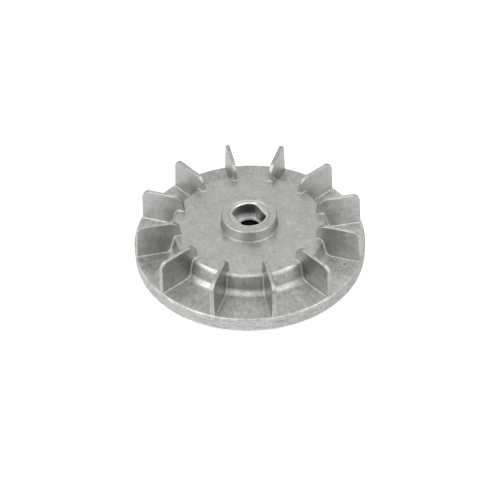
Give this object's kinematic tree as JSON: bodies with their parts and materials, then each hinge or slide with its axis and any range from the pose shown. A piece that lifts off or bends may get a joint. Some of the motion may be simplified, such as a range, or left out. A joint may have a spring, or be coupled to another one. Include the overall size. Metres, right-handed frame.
{
  "type": "flywheel",
  "caption": "Round die-cast flywheel with straight radial fan blades, a raised centre with a double-D drive socket, and a hollow rear boss.",
  "frame": {"origin": "on the axis of the shaft bore, at the end face of the rear boss, the lowest face", "axes": "+Z along the bore from the rear boss towards the fan blades; +X parallel to the two flats of the drive socket"},
  "size_m": [0.1, 0.1, 0.0253],
  "materials": {
    "cast_aluminium": "as cast, lightly tumbled, matt",
    "bush_steel": "turned, satin"
  },
  "bodies": {
    "root": {"wheel_casting": "cast_aluminium", "drive_bush": "bush_steel"}
  },
  "joints": []
}
